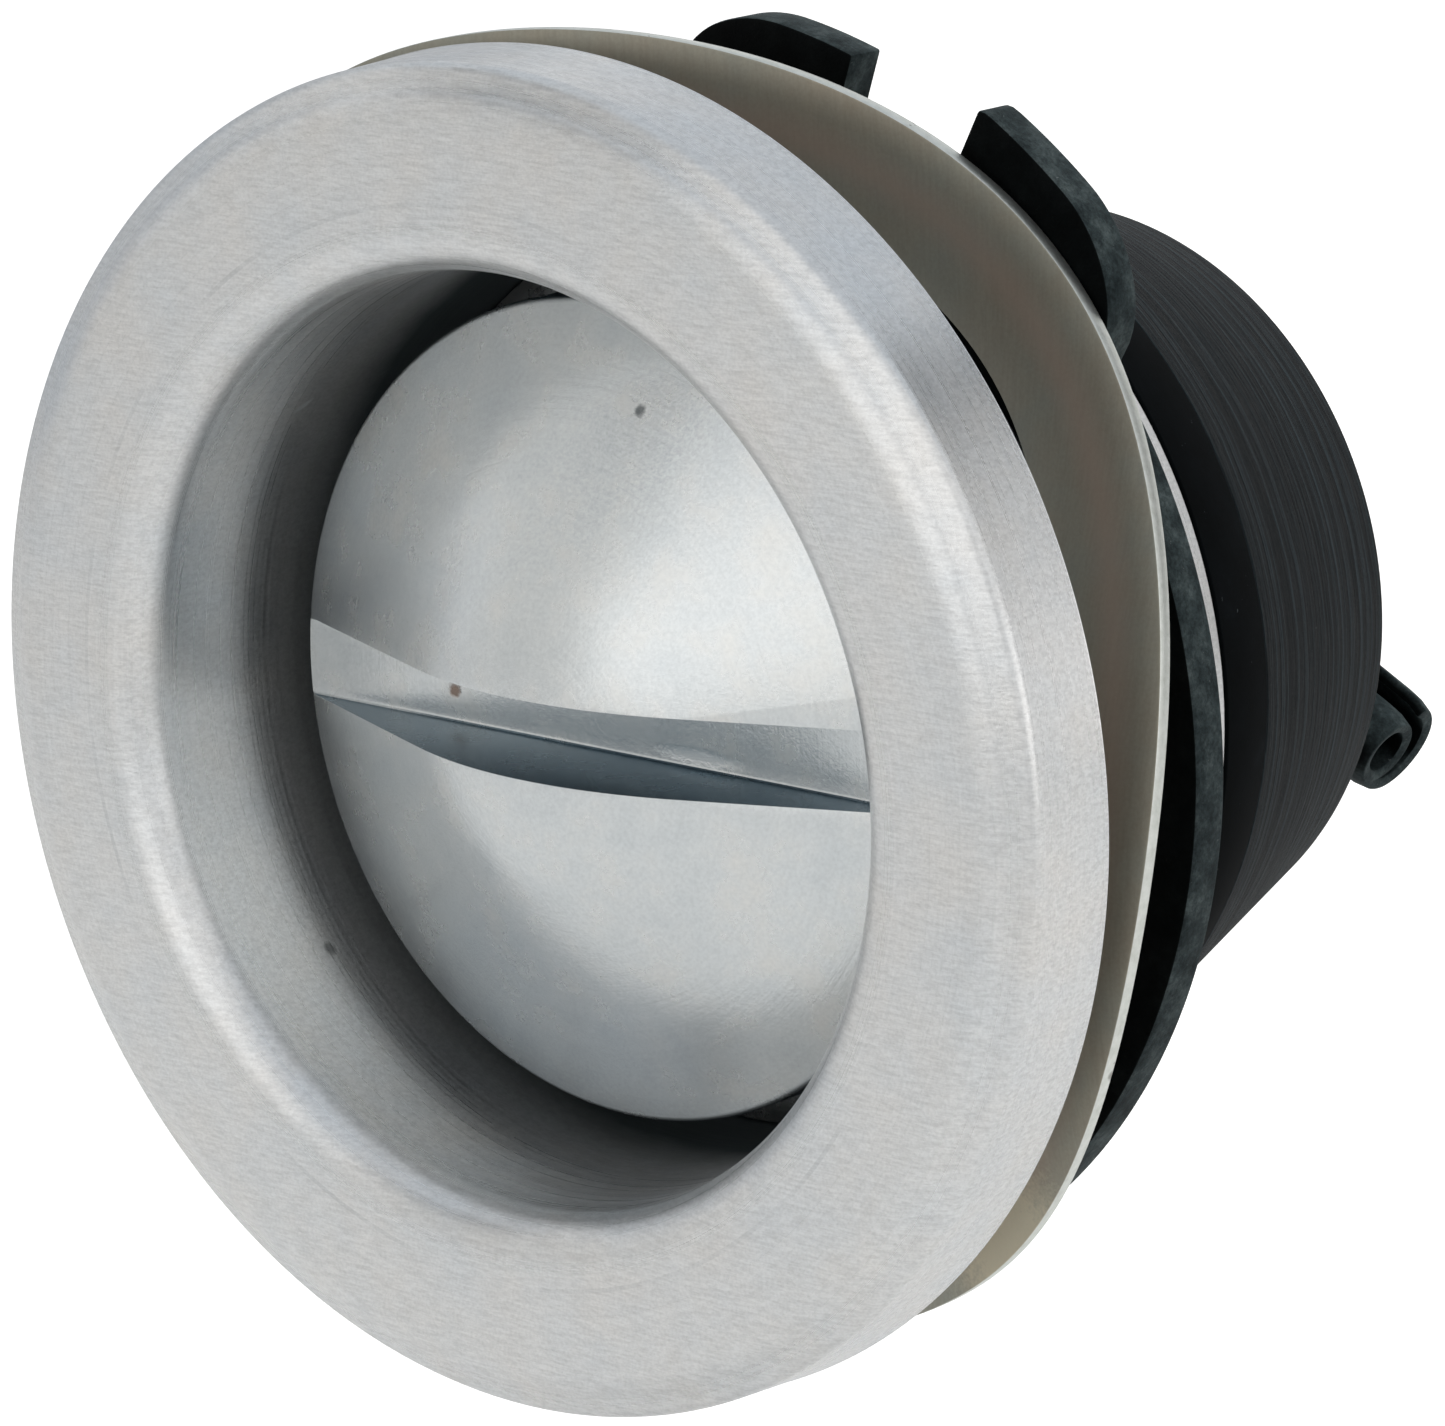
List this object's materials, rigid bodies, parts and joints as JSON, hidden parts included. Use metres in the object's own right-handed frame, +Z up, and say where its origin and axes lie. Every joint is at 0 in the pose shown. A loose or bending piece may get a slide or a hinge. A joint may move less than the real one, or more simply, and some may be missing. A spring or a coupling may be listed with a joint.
{
  "type": "hatch fastener",
  "caption": "Flush turn fastener: round flanged bezel, slotted domed plug in a pocket, wave washer, open retaining ring, tapered body and cross pin.",
  "frame": {"origin": "on the axis of turn, in the plane where the flange's rear face seats on the lid", "axes": "+Y along the axis of turn, from the slotted front to the cross pin; +Z up; +X to the right as seen from the front, along the coin slot"},
  "size_m": [0.042, 0.0377, 0.0424],
  "materials": {
    "turned_aluminium": "satin turned",
    "plug_aluminium": "polished",
    "nickel_strip": "bright rolled",
    "black_steel": "black phosphate",
    "black_rubber": "smooth moulded",
    "black_anodised": "black anodised, turned",
    "bright_steel": "ground",
    "bronze": "machined",
    "black_nylon": "smooth"
  },
  "bodies": {
    "housing": {"bezel": "turned_aluminium", "wave_washer": "nickel_strip", "retaining_ring": "black_steel", "collar": "black_rubber", "drum": "black_anodised", "lock_ring": "bright_steel", "spigot_seal": "black_rubber", "front_bush": "bronze", "rear_bush": "bronze", "stop_pin": "bright_steel", "rear_washer": "black_nylon", "return_spring": "bright_steel"},
    "seat": {"spring_seat": "bright_steel"},
    "rotor": {"plug": "plug_aluminium", "spindle": "bright_steel", "plug_pin": "bright_steel", "spindle_seals": "black_rubber", "cross_pin": "black_steel"}
  },
  "joints": [
    {"name": "push_in", "type": "slide", "parent": "housing", "child": "seat", "axis": [0, 1, 0], "range_m": [0, 0.0025], "stiffness_N_per_m": 3000, "springref_m": -0.004, "deforming": ["return_spring"]},
    {"name": "quarter_turn", "type": "hinge", "parent": "seat", "child": "rotor", "pos_m": [0, 0, 0], "axis": [0, 1, 0], "range_deg": [0, 90]}
  ]
}
